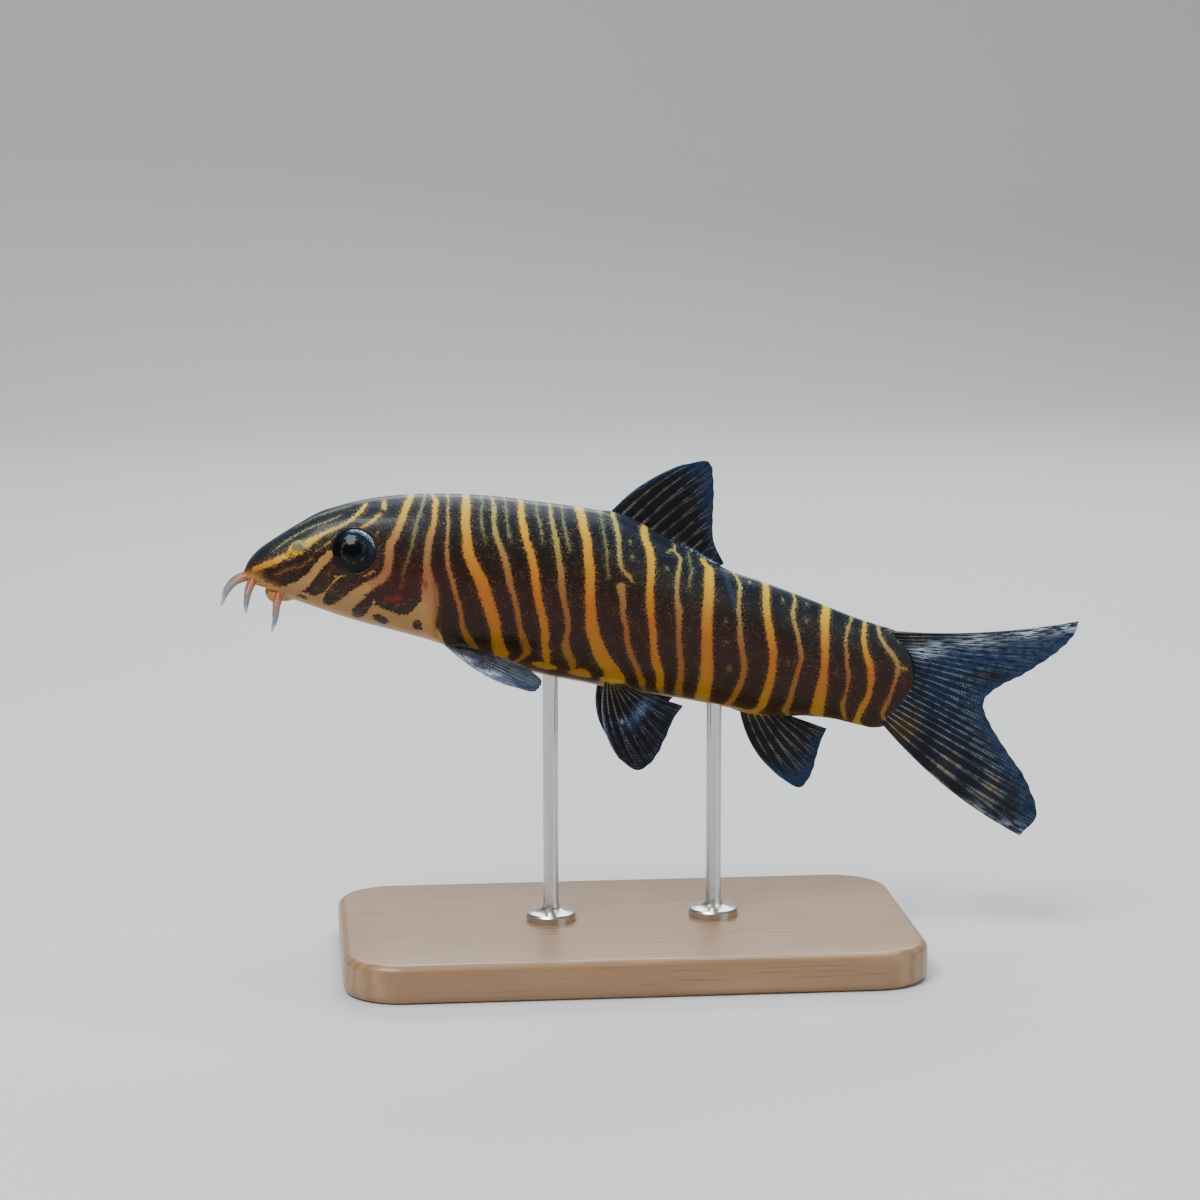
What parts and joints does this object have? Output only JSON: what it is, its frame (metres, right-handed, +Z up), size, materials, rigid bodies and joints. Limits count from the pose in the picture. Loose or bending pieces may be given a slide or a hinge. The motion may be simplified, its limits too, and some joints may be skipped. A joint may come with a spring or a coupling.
{
  "type": "zebra loach",
  "caption": "Small barred loach held swimming nose up on two thin rods over a flat base, with ribbed fins and feelers round its mouth.",
  "frame": {"origin": "centre of the base's underside", "axes": "+X from the snout to the tail, +Y to the fish's right side, +Z up"},
  "size_m": [0.0911, 0.034, 0.0523],
  "materials": {
    "head": "wet skin, blue-black above and dark brown on the cheek, with thin gold lines and a pale beige throat",
    "trunk": "wet skin, blue-black above and red-brown on the flank, with upright gold bars",
    "tail": "wet skin, blue-black above and dark brown on the side, with upright gold bars",
    "eyes": "clear and glossy over a black pupil and a thin gold ring",
    "fins": "smoky and see-through, with pale jointed rays and a blue sheen",
    "barbels": "orange at the root, pale blue-white at the tip",
    "stand_base": "satin varnished light wood",
    "stand_rods": "satin"
  },
  "bodies": {
    "root": {"head": "head", "trunk": "trunk", "tail": "tail", "eye_left": "eyes", "eye_right": "eyes", "dorsal_fin": "fins", "anal_fin": "fins", "caudal_fin_upper": "fins", "caudal_fin_lower": "fins", "pelvic_fin_left": "fins", "pelvic_fin_right": "fins", "pectoral_fin_left": "fins", "pectoral_fin_right": "fins", "barbel_inner_left": "barbels", "barbel_inner_right": "barbels", "barbel_outer_left": "barbels", "barbel_outer_right": "barbels", "barbel_mouth_left": "barbels", "barbel_mouth_right": "barbels", "stand_base": "stand_base", "stand_rod_front": "stand_rods", "stand_rod_rear": "stand_rods"}
  },
  "joints": []
}
